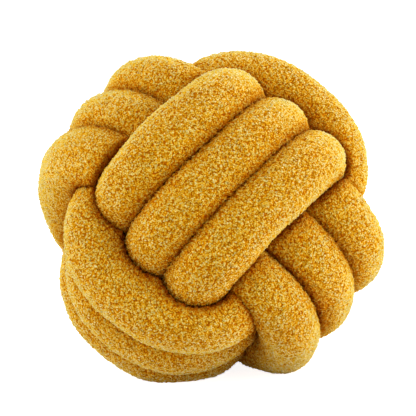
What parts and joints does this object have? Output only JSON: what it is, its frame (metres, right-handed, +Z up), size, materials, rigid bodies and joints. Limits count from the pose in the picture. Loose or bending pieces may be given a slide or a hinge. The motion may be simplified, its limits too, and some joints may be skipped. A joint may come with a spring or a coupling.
{
  "type": "knot cushion",
  "caption": "Round scatter cushion tied from a single long stuffed tube of curly teddy cloth into a ball knot, with three strands side by side on every face.",
  "frame": {"origin": "on the floor, under the middle of the ball's bounding box", "axes": "+Z up; -Y towards the side that shows the three front strands; +X to the right of that side"},
  "size_m": [0.2966, 0.294, 0.2735],
  "materials": {
    "teddy_cloth": "matt curly pile, mustard"
  },
  "bodies": {
    "root": {"knotted_tube": "teddy_cloth"}
  },
  "joints": []
}
